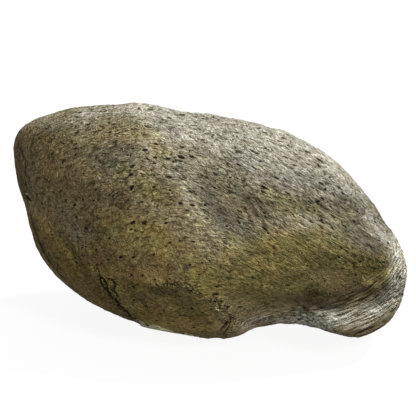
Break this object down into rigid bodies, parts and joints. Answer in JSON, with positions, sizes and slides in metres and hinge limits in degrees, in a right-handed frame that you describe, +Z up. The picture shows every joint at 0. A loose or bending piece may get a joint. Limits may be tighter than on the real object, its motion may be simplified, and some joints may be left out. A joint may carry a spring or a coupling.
{
  "type": "mossy rock",
  "caption": "Weathered, pitted boulder with a leaning rounded body, an undercut foot at one end and a flat worn base to rest on.",
  "frame": {"origin": "the middle of the boulder's length and depth, on the ground that it lies on", "axes": "+Z up, +X along the length towards the end with the undercut foot, -Y towards the front with the hollow and the bedding crack"},
  "size_m": [0.602, 0.3956, 0.3443],
  "materials": {
    "weathered_stone": "matte weathered stone under a thin olive film of moss and algae"
  },
  "bodies": {
    "root": {"boulder": "weathered_stone"}
  },
  "joints": []
}
